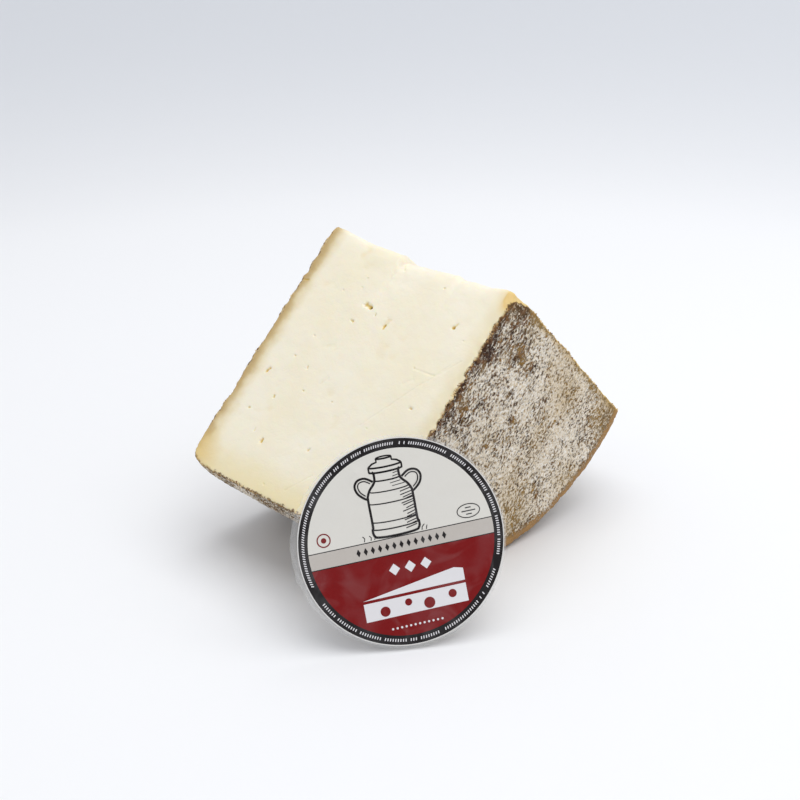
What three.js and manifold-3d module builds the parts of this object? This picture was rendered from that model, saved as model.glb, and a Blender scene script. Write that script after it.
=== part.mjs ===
// A quarter of a natural-rind cheese wheel that stands on its rim, with its round label.
//
// The wheel was cut a little past its middle, so the wedge is slightly more than a quarter. It
// rests on a pressed flat under its rim with the two cut faces sloping down from the ridge
// between them, and the label leans against its lower front corner.
//
// Frame: millimetres, +Z up. The origin is the middle of the object's box, at table height.
// +X runs along the wheel, from the base face it matured on towards its top face. One cut face
// looks up and towards -Y, the other up and towards +Y.

import * as THREE from 'three';
import { mergeVertices } from 'three/addons/utils/BufferGeometryUtils.js';
import Module from 'manifold-3d';

const wasm = await Module();
wasm.setup();

const degrees = THREE.MathUtils.degToRad;

// ---------------------------------------------------------------- driving dimensions, mm

const wheelHeight = 91.6;
const baseRadius = 92.6; // the wheel sagged a little over its base while it drained
const topRadius = 88;
const sideBulge = 1.2; // the rim is slightly barrelled between its two edges
const baseEdgeRadius = 9.5; // rounding between the rim and the base face
const topEdgeRadius = 4.5; // and between the rim and the top face

const frontCutAngle = 44.2; // each cut face, measured from straight down, degrees
const backCutAngle = 45.5;
const cutPastCentre = 18.5; // the two cuts meet this far beyond the wheel's axis
const ridgeRadius = 4; // the ridge where the cuts meet has worn blunt

const pressedDepth = 1.3; // the rim has flattened this much where the wedge rests

const labelRadius = 35;
const labelThickness = 0.6;
const filmMargin = 1.5; // the clear film stands out around the paper
const filmThickness = 0.4;
const labelLean = 21; // degrees back from upright
const labelTurn = 55.2; // degrees from facing -Y towards +X
const labelSideways = 11.5; // the label's middle stands to the right of the corner it leans on
const restGap = 0.3; // between pieces that rest on each other

const wheelSteps = 120; // round the whole wheel
const edgeSteps = 6; // round each edge of the rim
const sideSteps = 10; // across the rim between its edges
const discSteps = 96;

// ---------------------------------------------------------------- solids and meshes

function solidFrom(geometry) {
  const bare = new THREE.BufferGeometry();
  bare.setAttribute('position', geometry.attributes.position);
  bare.setIndex(geometry.index);
  const merged = mergeVertices(bare);
  const corners = merged.index.array;
  const triangles = [];
  for (let i = 0; i < corners.length; i += 3) {
    const [a, b, c] = [corners[i], corners[i + 1], corners[i + 2]];
    if (a !== b && b !== c && c !== a) {
      triangles.push(a, b, c);
    }
  }
  return new wasm.Manifold(new wasm.Mesh({
    numProp: 3,
    vertProperties: merged.attributes.position.array,
    triVerts: new Uint32Array(triangles),
  }));
}

function geometryFrom(solid) {
  const mesh = solid.getMesh();
  const geometry = new THREE.BufferGeometry();
  geometry.setAttribute('position', new THREE.BufferAttribute(mesh.vertProperties, 3));
  geometry.setIndex(new THREE.BufferAttribute(mesh.triVerts, 1));
  geometry.computeVertexNormals();
  return geometry;
}

function namedMesh(name, geometry, material) {
  const mesh = new THREE.Mesh(geometry, material);
  mesh.name = name;
  return mesh;
}

// ---------------------------------------------------------------- the wheel

// The rim's radius at a place along the axis, measured from the middle of the wheel's height.
function rimRadius(along) {
  const share = along / wheelHeight;
  const taper = THREE.MathUtils.lerp(baseRadius, topRadius, share + 0.5);
  return taper + sideBulge * (1 - 4 * share * share);
}

// A quarter circle that rounds one edge of the rim, where the side ends at a place along the axis.
function addEdge(profile, along, radius, startAngle) {
  for (let i = 0; i <= edgeSteps; i += 1) {
    const angle = startAngle + (Math.PI / 2) * (i / edgeSteps);
    profile.push(new THREE.Vector2(
      rimRadius(along) + radius * (Math.cos(angle) - 1),
      along + radius * Math.sin(angle),
    ));
  }
}

function wheelProfile() {
  const sideStart = baseEdgeRadius - wheelHeight / 2;
  const sideEnd = wheelHeight / 2 - topEdgeRadius;
  const profile = [new THREE.Vector2(0, -wheelHeight / 2)];
  addEdge(profile, sideStart, baseEdgeRadius, -Math.PI / 2);
  for (let i = 1; i < sideSteps; i += 1) {
    const along = THREE.MathUtils.lerp(sideStart, sideEnd, i / sideSteps);
    profile.push(new THREE.Vector2(rimRadius(along), along));
  }
  addEdge(profile, sideEnd, topEdgeRadius, 0);
  profile.push(new THREE.Vector2(0, wheelHeight / 2));
  return profile;
}

// The whole wheel, its axis along X, a distance below the line where the two cuts will meet.
function wholeWheel() {
  const geometry = new THREE.LatheGeometry(wheelProfile(), wheelSteps);
  geometry.rotateZ(-Math.PI / 2);
  geometry.translate(0, 0, -cutPastCentre);
  return solidFrom(geometry);
}

// ---------------------------------------------------------------- the two cuts

// The space between the two cuts: a long prism along X whose blunt edge lies over the origin.
function cutPrism() {
  const front = degrees(frontCutAngle);
  const back = degrees(backCutAngle);
  const halfAngle = (front + back) / 2;
  const middle = (back - front) / 2;
  const reach = 3 * baseRadius;
  const toCentre = ridgeRadius / Math.sin(halfAngle);
  const outline = new THREE.Shape();
  outline.absarc(
    toCentre * Math.sin(middle), -toCentre * Math.cos(middle), ridgeRadius,
    Math.PI - front, back, true,
  );
  outline.lineTo(reach * Math.sin(back), -reach * Math.cos(back));
  outline.lineTo(-reach * Math.sin(front), -reach * Math.cos(front));
  outline.closePath();
  const length = 2 * wheelHeight;
  const geometry = new THREE.ExtrudeGeometry(outline, {
    depth: length, bevelEnabled: false, curveSegments: 2 * edgeSteps,
  });
  geometry.translate(0, 0, -length / 2);
  geometry.applyMatrix4(new THREE.Matrix4().makeBasis(
    new THREE.Vector3(0, 1, 0), new THREE.Vector3(0, 0, 1), new THREE.Vector3(1, 0, 0),
  ));
  return solidFrom(geometry);
}

// ---------------------------------------------------------------- the wedge on the table

// The rim tapers, so the wedge tips until its side lies level, and rests on a pressed flat.
// The result stands at table height, z = 0.
function restingWedge() {
  const levelling = Math.atan2(baseRadius - topRadius, wheelHeight);
  const sector = geometryFrom(wholeWheel().intersect(cutPrism()));
  sector.rotateY(levelling);
  sector.computeBoundingBox();
  sector.translate(0, 0, -sector.boundingBox.min.z - pressedDepth);
  const side = 6 * baseRadius;
  const underTable = new THREE.BoxGeometry(side, side, side);
  underTable.translate(0, 0, -side / 2);
  return solidFrom(sector).subtract(solidFrom(underTable));
}

const cheese = new THREE.MeshStandardMaterial({ color: '#f0e8cd', roughness: 0.6 });
const wedgeSolid = restingWedge();
const wedge = namedMesh('cheese_wedge', geometryFrom(wedgeSolid), cheese);

// ---------------------------------------------------------------- the label

// A disc whose axis is its group's Z, with its back face at a height above the group's origin.
function disc(name, radius, thickness, backHeight, material) {
  const geometry = new THREE.CylinderGeometry(radius, radius, thickness, discSteps);
  geometry.rotateX(Math.PI / 2);
  const mesh = namedMesh(name, geometry, material);
  mesh.position.z = backHeight + thickness / 2;
  return mesh;
}

// The corner of a geometry that lies farthest in a direction.
function farthestPoint(geometry, direction) {
  const places = geometry.attributes.position;
  const point = new THREE.Vector3();
  const farthest = new THREE.Vector3();
  let reach = -Infinity;
  for (let i = 0; i < places.count; i += 1) {
    point.fromBufferAttribute(places, i);
    if (point.dot(direction) > reach) {
      reach = point.dot(direction);
      farthest.copy(point);
    }
  }
  return farthest;
}

// The label leans back, with its lower edge on the table, and slides towards the wedge until
// it is stopped. What can stop it is the part of the wedge that its own outline sweeps over.
function leaningLabel() {
  const turn = degrees(labelTurn);
  const lean = degrees(labelLean);
  const ahead = new THREE.Vector3(Math.sin(turn), -Math.cos(turn), 0);
  const right = new THREE.Vector3(Math.cos(turn), Math.sin(turn), 0);
  const facing = ahead.clone().multiplyScalar(Math.cos(lean));
  facing.z = Math.sin(lean);
  const upward = new THREE.Vector3().crossVectors(facing, right);
  const filmRadius = labelRadius + filmMargin;

  const middle = farthestPoint(wedge.geometry, ahead).addScaledVector(right, labelSideways);
  middle.z = filmRadius * upward.z;
  const sweep = new THREE.CylinderGeometry(filmRadius, filmRadius, 4 * baseRadius, discSteps);
  sweep.rotateX(Math.PI / 2);
  sweep.applyMatrix4(new THREE.Matrix4().makeBasis(right, upward, ahead));
  sweep.translate(middle.x, middle.y, middle.z);
  const inTheWay = geometryFrom(wedgeSolid.intersect(solidFrom(sweep)));
  const stop = farthestPoint(inTheWay, facing).dot(facing) + restGap;
  middle.addScaledVector(ahead, (stop - middle.dot(facing)) / ahead.dot(facing));

  const clearFilm = new THREE.MeshStandardMaterial({ color: '#eef0f2', roughness: 0.15 });
  const paper = new THREE.MeshStandardMaterial({ color: '#a51919', roughness: 0.45 });
  const label = new THREE.Group();
  label.add(disc('label_film', filmRadius, filmThickness, 0, clearFilm));
  label.add(disc('label_paper', labelRadius, labelThickness, filmThickness + restGap, paper));
  label.setRotationFromMatrix(new THREE.Matrix4().makeBasis(right, upward, facing));
  label.position.copy(middle);
  return label;
}

// ---------------------------------------------------------------- the object

const object = new THREE.Group();
object.add(wedge, leaningLabel());

const box = new THREE.Box3().setFromObject(object, true);
const middle = box.getCenter(new THREE.Vector3());
object.position.set(-middle.x, -middle.y, -box.min.z);

export default object;
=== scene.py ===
# %% [markdown]
# # A wedge of farmhouse goat cheese and its label
# The cheese is a little more than a quarter of a wheel. It stands on the wheel's rim, so its two
# cut faces look up and the ridge between them is on top. A round label in clear film leans
# against its front corner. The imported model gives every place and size, and this lesson puts
# the skin on it: cream paste, mouldy rind, printed paper and film.

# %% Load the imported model
import math
import random

import bmesh
import bpy
import numpy as np
from mathutils import Matrix, Vector, noise
from mathutils.bvhtree import BVHTree


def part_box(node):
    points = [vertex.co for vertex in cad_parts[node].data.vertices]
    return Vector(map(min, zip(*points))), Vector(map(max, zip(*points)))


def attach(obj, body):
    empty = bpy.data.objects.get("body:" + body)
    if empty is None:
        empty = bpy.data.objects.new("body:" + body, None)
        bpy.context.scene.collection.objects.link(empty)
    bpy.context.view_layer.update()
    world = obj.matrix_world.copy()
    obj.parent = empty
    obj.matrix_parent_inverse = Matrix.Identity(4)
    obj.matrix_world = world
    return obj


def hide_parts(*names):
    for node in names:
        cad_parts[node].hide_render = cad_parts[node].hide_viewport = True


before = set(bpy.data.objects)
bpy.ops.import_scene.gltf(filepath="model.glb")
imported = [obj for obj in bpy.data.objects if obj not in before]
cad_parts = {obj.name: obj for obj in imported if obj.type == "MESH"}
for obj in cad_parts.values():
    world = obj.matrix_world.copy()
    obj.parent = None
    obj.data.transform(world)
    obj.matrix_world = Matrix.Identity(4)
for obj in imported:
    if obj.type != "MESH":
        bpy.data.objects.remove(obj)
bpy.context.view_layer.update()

MM = 0.001  # Blender works in metres here, and a cheesemaker in millimetres
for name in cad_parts:
    low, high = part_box(name)
    print(name, "measures", [round(side / MM, 1) for side in high - low], "mm")

# %% [markdown]
# ## Small helpers
# Colours are easy to pick as sRGB hex values, but Blender's sockets hold linear light, so one
# function turns one into the other. A second function adds a node, fills in its settings, and
# links or sets its inputs. An input can be named, or counted where names repeat. Two more do
# what every finish here needs: lay one tone over another where some value is high, and end the
# material with its shader. The last two turn a shape into a mesh and put a piece in the scene.

# %% Helpers for materials and meshes
def linear(hex_colour):
    shares = [int(hex_colour[i:i + 2], 16) / 255 for i in (1, 3, 5)]
    return (*[s / 12.92 if s <= 0.04045 else ((s + 0.055) / 1.055) ** 2.4 for s in shares], 1.0)


def add_node(tree, kind, inputs=None, **settings):
    node = tree.nodes.new(kind)
    for name, value in settings.items():
        setattr(node, name, value)
    shown = [socket for socket in node.inputs if socket.enabled]
    for key, value in (inputs or {}).items():
        socket = shown[key] if isinstance(key, int) else next(s for s in shown if s.name == key)
        if isinstance(value, bpy.types.Node):
            value = next(s for s in value.outputs if s.enabled)
        if isinstance(value, bpy.types.NodeSocket):
            tree.links.new(value, socket)
        else:
            socket.default_value = value
    return node


def new_material(name):
    """A bare material, its node tree, and the socket that gives Object coordinates."""
    material = bpy.data.materials.new(name)
    material.use_nodes = True
    tree = material.node_tree
    tree.nodes.clear()
    return material, tree, add_node(tree, "ShaderNodeTexCoord").outputs["Object"]


def tinted(tree, under, tone, value, low, high, most=1.0, blend="LINEAR"):
    """One colour turned to another, or nearly, as a value goes from low to high."""
    share = add_node(tree, "ShaderNodeMapRange", {
        "Value": value, "From Min": low, "From Max": high, "To Max": most},
        interpolation_type=blend)
    return add_node(tree, "ShaderNodeMix", {
        "Factor": share, "A": under, "B": tone}, data_type="RGBA")


def end_material(tree, looks):
    surface = add_node(tree, "ShaderNodeBsdfPrincipled", looks)
    add_node(tree, "ShaderNodeOutputMaterial", {"Surface": surface})


def as_mesh(form, name):
    mesh = bpy.data.meshes.new(name)
    form.to_mesh(mesh)
    form.free()
    return mesh


def link_object(name, data):
    piece = bpy.data.objects.new(name, data)
    bpy.context.scene.collection.objects.link(piece)
    return piece


print("cream paste is", [round(c, 3) for c in linear("#F3EDDA")])

# %% [markdown]
# ## Where the wheel's faces are
# A cheesemaker thinks of a wedge by its faces: the base face and the top face of the wheel, the
# rim, and the two cuts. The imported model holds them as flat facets, so the biggest facet that
# looks each way gives that face's plane. Three planes meet in one point, which gives the middle
# of the sharp line where the cuts would meet if the ridge had not worn.

# %% Read the planes
cad_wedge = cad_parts["cheese_wedge"].data


def widest_facet(looks_that_way):
    facet = max((f for f in cad_wedge.polygons if looks_that_way(f.normal)), key=lambda f: f.area)
    return np.array(facet.normal), np.array(facet.center)


top_normal, top_point = widest_facet(lambda n: n.x > 0.95)
base_normal, base_point = widest_facet(lambda n: n.x < -0.95)
front_normal, front_point = widest_facet(lambda n: n.z > 0.5 and n.y < -0.5)
back_normal, back_point = widest_facet(lambda n: n.z > 0.5 and n.y > 0.5)

along_axis = top_normal
across_axis = np.array((0.0, 1.0, 0.0))
up_axis = np.cross(along_axis, across_axis)
wheel_height = (top_point - base_point) @ along_axis
apex = np.linalg.solve(
    np.array((front_normal, back_normal, along_axis)),
    (front_normal @ front_point, back_normal @ back_point,
     along_axis @ (top_point + base_point) / 2),
)
front_down = np.cross(along_axis, front_normal)
front_down *= -np.sign(front_down[2])
back_down = np.cross(along_axis, back_normal)
back_down *= -np.sign(back_down[2])
print("wheel", round(wheel_height / MM, 1), "mm high, apex at", np.round(apex / MM, 1), "mm")

# %% [markdown]
# ## Eyes, slits and knife marks
# A pressed goat cheese is close and smooth, with a few small eyes, some slits where curds did
# not quite knit, and faint lines where the wire or knife dragged a crumb along. Each is given
# as a short stroke on its cut: where it starts and ends, along the wheel and down from the
# ridge, then its half width and its depth, all in millimetres.

# %% Marks in the cut faces
front_marks = (
    ((-10.3, 24.5), (-8.6, 24.7), 1.15, 1.3), ((-7.9, 24.7), (-7.7, 24.7), 0.75, 2.6),
    ((-12.6, 32.2), (-11.8, 32.4), 0.6, 1.1), ((-4.3, 26.2), (-4.1, 26.9), 0.4, 0.8),
    ((2.5, 28.9), (2.4, 30.4), 0.5, 0.9), ((2.4, 26.6), (2.4, 29.0), 1.5, 0.35),
    ((-35.4, 62.6), (-34.7, 61.2), 0.75, 1.2), ((-18.8, 85.8), (-18.9, 86.9), 0.8, 1.3),
    ((-14.6, 63.3), (-14.4, 63.3), 0.45, 1.3), ((-27.4, 52.7), (-26.9, 52.9), 0.5, 0.8),
    ((-24.3, 42.9), (-24.1, 43.0), 0.4, 0.6), ((-18.9, 54.4), (-18.5, 55.2), 0.45, 0.7),
    ((-33.3, 77.7), (-32.8, 77.6), 0.45, 0.7), ((-25.5, 69.6), (-25.2, 70.3), 0.45, 0.8),
    ((0.1, 62.4), (0.5, 62.4), 0.4, 0.6), ((-24.6, 83.8), (-24.5, 84.4), 0.5, 0.6),
    ((32.2, 52.5), (32.9, 52.6), 0.6, 1.0), ((2.7, 81.7), (3.0, 81.2), 0.6, 0.8),
    ((20.3, 65.5), (20.5, 65.5), 0.35, 0.5), ((-6.7, 99.9), (-6.5, 99.9), 0.5, 0.5),
    ((-17.0, 14.8), (-16.9, 14.8), 0.35, 0.5), ((-16.8, 18.9), (-16.6, 18.9), 0.35, 0.6),
    ((-24.2, 22.7), (-24.0, 22.7), 0.35, 0.4), ((29.9, 20.4), (30.9, 18.2), 0.5, 0.6),
    ((29.8, 20.3), (30.0, 20.2), 0.7, 1.5), ((16.8, 7.5), (16.9, 7.6), 0.45, 0.8),
    ((36.9, 23.4), (37.0, 23.4), 0.35, 0.6), ((24.4, 39.0), (24.5, 39.0), 0.35, 0.5),
    ((-45.0, 24.6), (-42.4, 24.0), 0.35, 0.8), ((3.4, 97.9), (10.6, 89.0), 0.4, 0.30),
    ((17.1, 65.4), (30.6, 43.7), 0.4, 0.24), ((30.6, 43.7), (41.0, 30.2), 0.4, 0.20),
    ((24.6, 39.3), (33.8, 38.8), 0.45, 0.24), ((33.8, 38.8), (37.5, 33.3), 0.4, 0.20),
    ((-6.9, 2.0), (-4.5, 5.2), 0.5, 0.4), ((-9.0, 58.0), (-7.6, 55.0), 0.9, 0.22),
    ((-16.0, 45.0), (-13.0, 43.5), 1.1, 0.25), ((24.0, 46.0), (26.5, 43.0), 0.9, 0.2),
)
dice = random.Random(11)
back_marks = []
for _ in range(26):
    along, down = dice.uniform(-38, 40), dice.uniform(10, 98)
    lean, length = dice.uniform(0, math.pi), dice.choice((0.2, 0.4, 0.6, 2.2))
    end = (along + length * math.cos(lean), down + length * math.sin(lean))
    back_marks.append(((along, down), end, dice.uniform(0.35, 0.7), dice.uniform(0.5, 1.3)))
print(len(front_marks), "marks on the front cut and", len(back_marks), "on the back cut")

# %% [markdown]
# ## A fine skin for the wedge
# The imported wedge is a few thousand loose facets, too coarse to carve. A copy is merged and
# voxel remeshed, which gives an even net of small squares over paste and rind alike. Then only
# the squares near a mark are split in three each way, so that small eyes get round edges
# without making the whole piece heavy.

# %% Remesh and refine
VOXEL = 0.89 * MM
solid = bmesh.new()
solid.from_mesh(cad_wedge)
bmesh.ops.remove_doubles(solid, verts=solid.verts, dist=1e-6)
groups = {"cut": [], "base": [], "top": [], "rim": []}
for face in solid.faces:
    n = face.normal
    kind = "cut" if n.z > 0.5 and abs(n.x) < 0.3 else (
        "top" if n.x > 0.95 else "base" if n.x < -0.95 else "rim")
    groups[kind].append([v.index for v in face.verts])
corners = [v.co.copy() for v in solid.verts]
skins = {kind: BVHTree.FromPolygons(corners, faces) for kind, faces in groups.items()}
wedge = link_object("goat_cheese_wedge", as_mesh(solid, "wedge_merged"))
remesh = wedge.modifiers.new("even_net", "REMESH")
remesh.mode = "VOXEL"
remesh.voxel_size = VOXEL
net = bpy.data.meshes.new_from_object(wedge.evaluated_get(bpy.context.evaluated_depsgraph_get()))
wedge.modifiers.clear()
wedge.data = net
print("net of", len(net.polygons), "faces")


def rows_of(items, name):
    """The places or normals of a mesh as rows of three numbers."""
    flat = np.empty(3 * len(items))
    items.foreach_get(name, flat)
    return flat.reshape(-1, 3)


def on_cut(places, normal, down_axis):
    """Along, down and out from the ridge's sharp line, in mm, for one cut face."""
    away = (places - apex) / MM
    return away @ along_axis, away @ down_axis, away @ normal


def from_stroke(along, down, start, end):
    step = np.subtract(end, start)
    share = ((along - start[0]) * step[0] + (down - start[1]) * step[1]) / max(step @ step, 1e-9)
    share = np.clip(share, 0, 1)
    return np.hypot(along - start[0] - share * step[0], down - start[1] - share * step[1])


cuts = ((front_normal, front_down, front_marks), (back_normal, back_down, back_marks))
AT_CUT = 1.5  # mm, what lies this close to a cut's plane belongs to it
places = rows_of(net.vertices, "co")
close = np.zeros(len(places), bool)
for normal, down_axis, marks in cuts:
    along, down, out = on_cut(places, normal, down_axis)
    for start, end, half_width, _ in marks:
        close |= (from_stroke(along, down, start, end) < half_width + 0.5) & (abs(out) < AT_CUT)
fine = bmesh.new()
fine.from_mesh(net)
fine.verts.ensure_lookup_table()
near_marks = sorted({e.index for i in np.flatnonzero(close)
                     for f in fine.verts[i].link_faces for e in f.edges})
fine.edges.ensure_lookup_table()
bmesh.ops.subdivide_edges(fine, edges=[fine.edges[i] for i in near_marks], cuts=2,
                          use_grid_fill=True)
bmesh.ops.triangulate(fine, faces=[f for f in fine.faces if len(f.verts) > 4])
fine.to_mesh(net)
fine.free()
print("refined to", len(net.polygons), "faces")

# %% [markdown]
# ## What each point of the skin knows
# Both the carving and the colours depend on the same few distances: how far a point is past the
# cut edge on the rind, or how deep under the rind it is on the cut. They are measured once
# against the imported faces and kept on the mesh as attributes, in millimetres, so the materials
# can read them too.

# %% Measure distances
places = rows_of(net.vertices, "co")
normals = rows_of(net.vertex_normals, "vector")


def distance_to(kind):
    near = skins[kind].find_nearest
    return np.array([near(p)[3] for p in map(Vector, places)]) / MM


from_cut, from_base, from_top, from_rim = map(distance_to, ("cut", "base", "top", "rim"))
from_rind = np.minimum(np.minimum(from_base, from_top), from_rim)
past_edge = np.where(from_rind < from_cut, from_cut, -from_rind)
away = (places - apex) / MM
along, across, height = away @ along_axis, away @ across_axis, away @ up_axis
print("deepest paste is", round(-past_edge.min(), 1), "mm under the rind")


def smooth_step(low, high, value):
    share = np.clip((value - low) / (high - low), 0, 1)
    return share * share * (3 - 2 * share)


def ripple(size, octaves=1, shift=0.0, stretch=None):
    """Seeded noise of about that size in mm at every point of the skin, from -1 to 1."""
    spots = places / (size * MM) + shift
    if stretch is not None:
        direction, factor = stretch
        spots = spots - np.outer(spots @ direction, direction) * (1 - 1 / factor)
    return np.array([noise.fractal(p, 1.0, 2.0, octaves) for p in spots])


# %% [markdown]
# ## Carving the wedge
# The ridge first: it is nearly sharp at both ends, worn blunt between, and a bit has broken off
# just past the middle. The list gives how far it has dropped below the sharp line. Then come
# the marks, the soft waves a wire leaves in paste, the bumps and pits of the rind, the crumbled
# edge between the two, and the chip of rind missing at the ridge's upper end.

# %% Wear the ridge
ridge_drop = (
    (-46, 0.4), (-40.5, 0.7), (-35.5, 1.4), (-24.5, 2.6), (-16, 2.4), (-8.9, 2.3), (-7.8, 5.6),
    (-4, 4.8), (3.1, 4.2), (11, 3.2), (18.3, 2.5), (20.6, 3.7), (23.1, 2.9), (33, 2.2),
    (38.4, 1.0), (41.1, 0.5), (46, 0.6),
)
BLUNT = 4.0  # mm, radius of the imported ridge
WORN_DEPTH = 1.6  # mm, how far under the ridge the wear is felt
slope = np.where(across < 0, -front_normal @ across_axis / (front_normal @ up_axis),
                 back_normal @ across_axis / (back_normal @ up_axis))
flat_side = slope * abs(across)
half_angle = (math.atan(1 / slope.min()) + math.atan(1 / slope.max())) / 2
rounded_top = BLUNT / math.sin(half_angle) - np.sqrt(np.maximum(BLUNT ** 2 - across ** 2, 0))
packed_drop = np.where(abs(across) < BLUNT * math.cos(half_angle), rounded_top, flat_side)
worn = np.interp(along, *zip(*ridge_drop))
worn = np.maximum(worn + 0.3 * ripple(4, 2, 3.1), 0.2)
SOFTNESS = 2.0  # 1 would round the whole slope, and a high power only the very crest
new_drop = (flat_side ** SOFTNESS + worn ** SOFTNESS) ** (1 / SOFTNESS)
below_skin = np.maximum(-height - packed_drop, 0)
lift = (packed_drop - new_drop) * np.exp(-below_skin / WORN_DEPTH)
lift *= smooth_step(24, 10, abs(across))
relief = np.zeros(len(places))
shifted = lift[:, None] * up_axis
print("ridge moves from", round(lift.min(), 2), "to", round(lift.max(), 2), "mm")

# %% Carve the marks and the cut faces
on_paste = smooth_step(0.3, -0.5, past_edge)
for normal, down_axis, marks in cuts:
    cut_along, cut_down, out = on_cut(places, normal, down_axis)
    spots = np.flatnonzero((abs(out) < AT_CUT) & (past_edge < 0.3))
    wobble = np.array([noise.fractal(p, 1.0, 2.0, 2) for p in places[spots] / (1.1 * MM)])
    for start, end, half_width, depth in marks:
        gap = from_stroke(cut_along[spots], cut_down[spots], start, end)
        gap = gap + 0.45 * half_width * wobble
        relief[spots] -= 0.6 * depth * (1 - smooth_step(0.0, 1.35 * half_width, gap))
relief += on_paste * (0.22 * ripple(24, 2, 5.0) + 0.14 * ripple(7, 2, 9.0))
relief += on_paste * 0.05 * ripple(2.2, 2, 1.0)
print("deepest mark goes", round(-relief.min(), 2), "mm in")

# %% Roughen the rind and crumble its edge
on_rind = 1 - on_paste
fleck_way = front_down - (front_down @ along_axis) * along_axis
bumps = ripple(1.7, 3, 2.0, (fleck_way, 1.4))
pits = smooth_step(0.30, 0.75, ripple(5.0, 2, 7.0))
waves = ripple(15, 2, 4.0)
near_any_edge = np.exp(-(past_edge / 2.5) ** 2)
coarseness = np.where(from_top < 1.0, 0.30, 0.38)
relief += on_rind * (coarseness * bumps - 0.6 * pits * (1 - near_any_edge) + 0.4 * waves)
edge = np.exp(-(past_edge / 1.5) ** 2)
noise.seed_set(7)  # noise vectors differ from run to run unless they are seeded
bite = np.array([noise.noise_vector(p) for p in places / (2.8 * MM)])
bite += 0.5 * np.array([noise.noise_vector(p) for p in places / (1.4 * MM)])
torn = (from_top < 3) & (across < 0)
edge_crumble = np.where(torn, 0.9, 0.35)
shifted += (edge * edge_crumble)[:, None] * bite
bites = np.exp(-(past_edge / 1.1) ** 2) * smooth_step(0.05, 0.6, ripple(3.4, 2, 6.0))
shifted -= (1.2 * torn * bites)[:, None] * along_axis
shifted += (0.4 * (from_base < 3) * bites)[:, None] * along_axis
print("edge crumbles over", int((edge > 0.5).sum()), "points")

# %% Draw out the edge of the base face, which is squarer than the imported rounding
AXIS_DROP = 18.5  # mm from the sharp line between the cuts down to the wheel's axis
ROUNDING = 9.5  # mm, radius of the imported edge
DRAWN_OUT = 1.3  # mm
radial = np.stack((across, height + AXIS_DROP), axis=1)
reach = np.linalg.norm(radial, axis=1)
rim_reach = reach[(from_base > 9) & (from_base < 13) & (from_rim < 0.5)].max()
outward = np.maximum(reach - (rim_reach - ROUNDING), 0) / ROUNDING
sideways = np.maximum(-along - (wheel_height / MM / 2 - ROUNDING), 0) / ROUNDING
square = np.minimum(outward * sideways * 2, 1) ** 2
radial_way = (radial[:, :1] * across_axis + radial[:, 1:] * up_axis) / reach[:, None]
shifted += (DRAWN_OUT * square)[:, None] * (radial_way - along_axis) / math.sqrt(2)
shifted += relief[:, None] * normals
print("skin moves by up to", round(np.linalg.norm(shifted, axis=1).max(), 2), "mm")

# %% Break the chip of rind off the ridge's upper end
chip_line = ((-12, -6.0), (-3.4, -3.6), (-1, -3.0), (5.8, -6.3), (12, -9))
chip_edge = np.interp(across, *zip(*chip_line)) + 0.7 * ripple(2.4, 2, 8.0)
chip = smooth_step(-0.4, 0.5, height - chip_edge) * smooth_step(4.2, 0.2, from_top)
shifted -= (1.7 * chip)[:, None] * along_axis
bared = (height - chip_edge > -0.5) & (from_top < 3)
past_edge = np.where(bared, np.minimum(past_edge, -2.0), past_edge)
print("chip bares", int(bared.sum()), "points")

# %% Note where the mould is rubbed off and where the cheese is ochre
# Places on the top face: across and up from the apex, then reach, all in mm, and strength. The
# cheese has also dried yellow along the back cut, at the front cut's lowest corner and at the
# ridge's upper end.
bare_places = (
    (2, -9, 8, 0.17), (-28, -39, 7, 0.11), (-12, -20, 6, 0.12), (2, -49.8, 1.8, 0.20),
    (12.2, -32.3, 1.8, 0.12), (-22, -50, 5, 0.04), (3, -26, 11, 0.06), (12, -19, 6, 0.05),
    (-14, -36, 7, 0.07), (34, -50, 9, 0.075), (-6, -63, 5, 0.04), (3, -82, 7, 0.04),
    (17, -65, 6, 0.06), (61, -67, 8, 0.10), (37, -88, 5, 0.04), (8, -95, 8, 0.05),
    (26, -71, 5, -0.07), (-15, -57, 5, -0.05), (36, -77, 5, -0.04),
)
ochre_places = (
    (34, -50, 10, 0.9), (60, -66, 9, 1.0), (26, -36, 8, 0.5), (-10, -52, 7, 0.3),
    (14, -15, 7, 0.6), (3, -78, 11, 0.5), (-18, -66, 8, 0.25), (18, -63, 8, 0.5),
    (8, -95, 12, 0.7), (38, -88, 9, 0.6), (-2, -3, 4, 1.0),
)


def spread(spots):
    total = np.zeros(len(places))
    for x, y, reach, strength in spots:
        total += strength * np.exp(-((across - x) ** 2 + (height - y) ** 2) / reach ** 2)
    return total * smooth_step(4.5, 1.0, from_top)


bare, ochre = spread(bare_places), spread(ochre_places)
bare += 0.12 * smooth_step(7, 0.5, past_edge) * (across < 0) * (from_top < 2)
ochre += 1.1 * smooth_step(3.5, 0.5, abs(past_edge)) * (across > 0) * (from_top < 2)
corner_way = np.where(past_edge < -0.5, places @ (front_down - along_axis), -1)
lower_corner = places[np.argmax(corner_way)]
ochre += 0.8 * np.exp(-(np.linalg.norm(places - lower_corner, axis=1) / (11 * MM)) ** 2)
upper_corner = (wheel_height / MM / 2, 0, -4)
from_upper = np.linalg.norm(np.stack((along, across, height), axis=1) - upper_corner, axis=1)
ochre += 0.6 * np.exp(-(from_upper / 8) ** 2)
print("rind covers", round(100 * float(np.mean(past_edge > 0))), "% of the points")

# %% [markdown]
# ## Keep off the table and the label
# The carving may not push the rind through the table, nor into the film that leans on it. The
# label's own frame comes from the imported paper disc: its widest facet gives the way it faces.

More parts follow.
